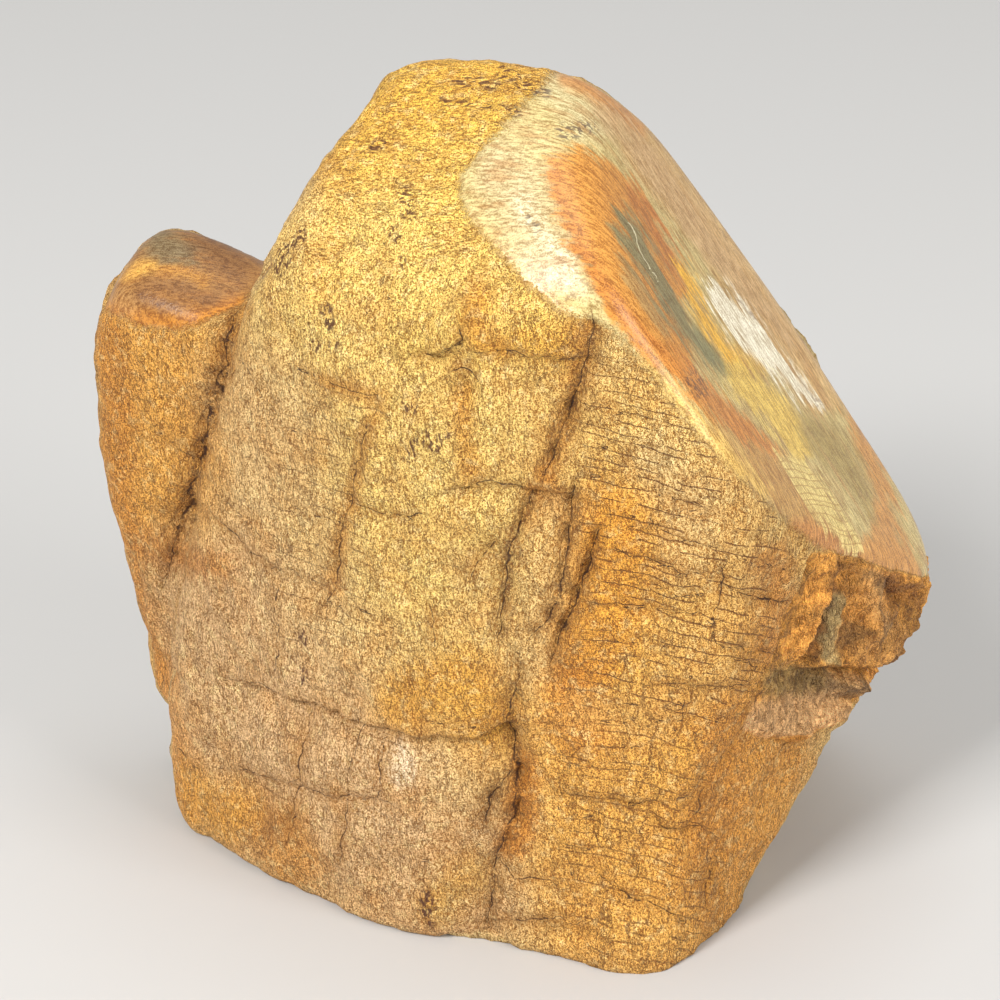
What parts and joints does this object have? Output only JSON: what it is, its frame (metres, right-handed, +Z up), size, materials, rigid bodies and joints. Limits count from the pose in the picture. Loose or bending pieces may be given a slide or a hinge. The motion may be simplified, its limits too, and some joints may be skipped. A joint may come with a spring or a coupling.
{
  "type": "petrified wood",
  "caption": "Heavy standing piece of petrified wood with a furrowed ochre rind, a long polished face, a lower polished shoulder and a broken corner.",
  "frame": {"origin": "centre of the bounding box, on the floor under the ground base", "axes": "+Z up along the trunk's grain, the broad rind side faces -Y, the polished face lies toward +X"},
  "size_m": [0.1848, 0.1204, 0.1878],
  "materials": {
    "fossil_rind": "matte"
  },
  "bodies": {
    "root": {"petrified_wood": "fossil_rind"}
  },
  "joints": []
}
